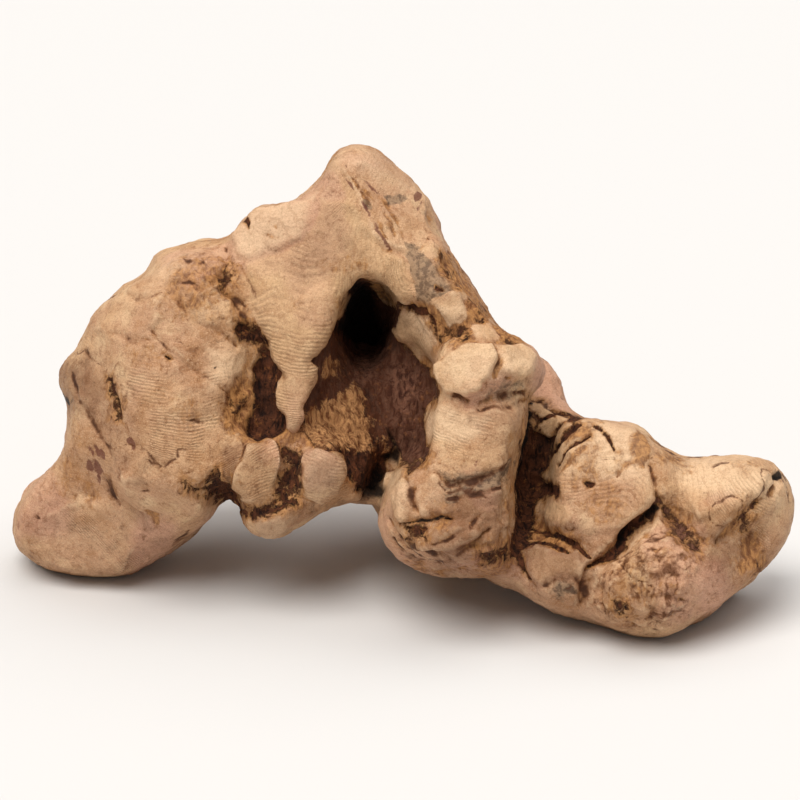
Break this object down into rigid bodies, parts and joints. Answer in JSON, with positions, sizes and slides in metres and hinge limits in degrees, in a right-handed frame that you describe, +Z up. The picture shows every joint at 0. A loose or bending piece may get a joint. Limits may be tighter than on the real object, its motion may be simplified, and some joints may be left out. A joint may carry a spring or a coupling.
{
  "type": "oak burl",
  "caption": "Knobbly oak burl with a domed limb, a sanded peak over a rotted hollow, a lumpy column and a long low limb, resting on worn low points.",
  "frame": {"origin": "centre of the burl's box in plan, on the ground it rests on", "axes": "+X along the burl from the domed limb to the long low limb, +Y to the back, away from the face with the hollow, +Z up"},
  "size_m": [0.3053, 0.153, 0.1702],
  "materials": {
    "oak": "bare wood, coarsely sanded, with rough dark bark left in the hollows"
  },
  "bodies": {
    "root": {"burl": "oak"}
  },
  "joints": []
}
